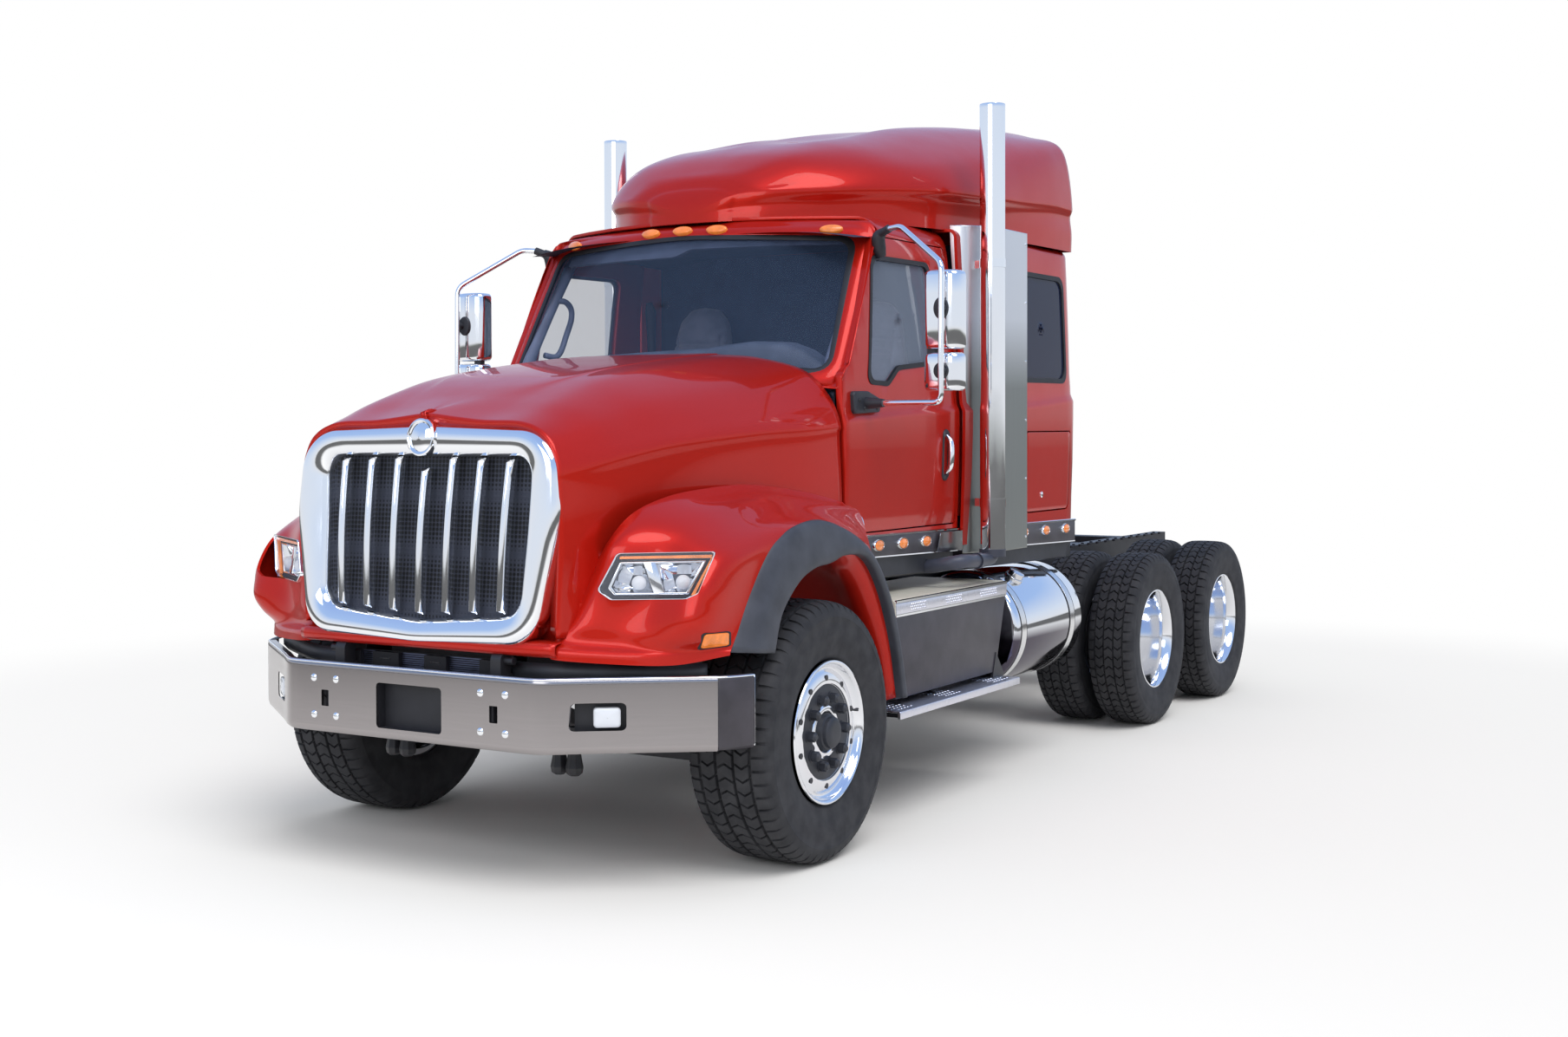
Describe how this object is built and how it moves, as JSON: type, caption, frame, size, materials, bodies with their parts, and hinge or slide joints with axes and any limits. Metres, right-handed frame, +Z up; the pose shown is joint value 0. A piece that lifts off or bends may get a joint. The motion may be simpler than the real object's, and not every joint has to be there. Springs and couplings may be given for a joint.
{
  "type": "semi truck tractor unit",
  "caption": "Conventional three-axle road tractor with sleeper cab, tilting hood, opening doors, steered front wheels and twin rear wheels.",
  "frame": {"origin": "on the floor, at the middle of the vehicle's length and width", "axes": "+Z up; the front faces -Y; the truck's own left side is +X"},
  "size_m": [2.906, 7.86, 3.5597],
  "materials": {
    "red": "deep red metallic body paint, glossy",
    "chrome": "polished",
    "steel": "polished stainless sheet",
    "aluminium": "polished forged wheels",
    "alloy_deck": "brushed tread plate",
    "frame_black": "satin black chassis paint",
    "iron": "painted castings",
    "black_plastic": "grained moulding",
    "panel_dark": "dark grey side panels",
    "flare_rubber": "moulded fender flare",
    "tyre": "blocky lug tread",
    "glass": "tinted",
    "dark_glass": "dark tinted",
    "lamp_clear": "clear lamp lens",
    "amber": "amber lens",
    "fabric": "blue-grey seat cloth",
    "dash": "soft-touch dash"
  },
  "bodies": {
    "chassis": {"frame_rails": "frame_black", "suspension": "iron", "front_axle_beam": "iron", "rear_axles": "iron", "front_bumper": "steel", "fog_lamps": "lamp_clear", "front_valance": "black_plastic", "radiator": "iron", "engine_gearbox": "iron", "cab_shell": "red", "cab_glass": "glass", "sleeper_shell": "red", "roof_fairing": "red", "seats": "fabric", "dashboard": "dash", "steering_wheel": "dash", "cab_skirts": "panel_dark", "marker_lamps": "amber", "exhaust_stacks": "chrome", "heat_shields": "steel", "fuel_tanks": "aluminium", "step_boxes": "panel_dark", "side_steps": "alloy_deck"},
    "hood": {"hood_shell": "red", "grille_surround": "chrome", "grille_bars": "chrome", "grille_mesh": "black_plastic", "headlamps": "lamp_clear", "fender_flares": "flare_rubber"},
    "door_left_body": {"door_left": "red", "door_glass_left": "glass", "mirror_left": "chrome"},
    "luggage_left_body": {"luggage_door_left": "red"},
    "steer_left_body": {"knuckle_left": "iron"},
    "front_wheel_left": {"front_tyre_left": "tyre", "front_rim_left": "aluminium"},
    "rear_wheel_1_left": {"rear_tyres_1_left": "tyre", "rear_rims_1_left": "aluminium"},
    "rear_wheel_2_left": {"rear_tyres_2_left": "tyre", "rear_rims_2_left": "aluminium"},
    "door_right_body": {"door_right": "red", "door_glass_right": "glass", "mirror_right": "chrome"},
    "luggage_right_body": {"luggage_door_right": "red"},
    "steer_right_body": {"knuckle_right": "iron"},
    "front_wheel_right": {"front_tyre_right": "tyre", "front_rim_right": "aluminium"},
    "rear_wheel_1_right": {"rear_tyres_1_right": "tyre", "rear_rims_1_right": "aluminium"},
    "rear_wheel_2_right": {"rear_tyres_2_right": "tyre", "rear_rims_2_right": "aluminium"}
  },
  "joints": [
    {"name": "hood_tilt", "type": "hinge", "parent": "chassis", "child": "hood", "pos_m": [0, -3.845, 0.905], "axis": [1, 0, 0], "range_deg": [0, 60]},
    {"name": "door_left_hinge", "type": "hinge", "parent": "chassis", "child": "door_left_body", "pos_m": [0.975, -2.11, 1.7], "axis": [0, 0, -1], "range_deg": [0, 70]},
    {"name": "luggage_left_hinge", "type": "hinge", "parent": "chassis", "child": "luggage_left_body", "pos_m": [1.01, 0.1925, 1.753], "axis": [0, -1, 0], "range_deg": [0, 80]},
    {"name": "steer_left", "type": "hinge", "parent": "chassis", "child": "steer_left_body", "pos_m": [0.96, -2.77, 0.545], "axis": [0, 0, 1], "range_deg": [-32, 32]},
    {"name": "front_wheel_left_spin", "type": "hinge", "parent": "steer_left_body", "child": "front_wheel_left", "pos_m": [1.27, -2.77, 0.545], "axis": [1, 0, 0], "continuous": true},
    {"name": "rear_wheel_1_left_spin", "type": "hinge", "parent": "chassis", "child": "rear_wheel_1_left", "pos_m": [1.224, 1.415, 0.515], "axis": [1, 0, 0], "continuous": true},
    {"name": "rear_wheel_2_left_spin", "type": "hinge", "parent": "chassis", "child": "rear_wheel_2_left", "pos_m": [1.224, 2.735, 0.515], "axis": [1, 0, 0], "continuous": true},
    {"name": "door_right_hinge", "type": "hinge", "parent": "chassis", "child": "door_right_body", "pos_m": [-0.975, -2.11, 1.7], "axis": [0, 0, 1], "range_deg": [0, 70]},
    {"name": "luggage_right_hinge", "type": "hinge", "parent": "chassis", "child": "luggage_right_body", "pos_m": [-1.01, 0.1925, 1.753], "axis": [0, 1, 0], "range_deg": [0, 80]},
    {"name": "steer_right", "type": "hinge", "parent": "chassis", "child": "steer_right_body", "pos_m": [-0.96, -2.77, 0.545], "axis": [0, 0, 1], "range_deg": [-32, 32]},
    {"name": "front_wheel_right_spin", "type": "hinge", "parent": "steer_right_body", "child": "front_wheel_right", "pos_m": [-1.27, -2.77, 0.545], "axis": [1, 0, 0], "continuous": true},
    {"name": "rear_wheel_1_right_spin", "type": "hinge", "parent": "chassis", "child": "rear_wheel_1_right", "pos_m": [-1.224, 1.415, 0.515], "axis": [1, 0, 0], "continuous": true},
    {"name": "rear_wheel_2_right_spin", "type": "hinge", "parent": "chassis", "child": "rear_wheel_2_right", "pos_m": [-1.224, 2.735, 0.515], "axis": [1, 0, 0], "continuous": true}
  ],
  "couplings": [
    {"joint": "steer_right", "follows": "steer_left", "ratio": 1}
  ]
}
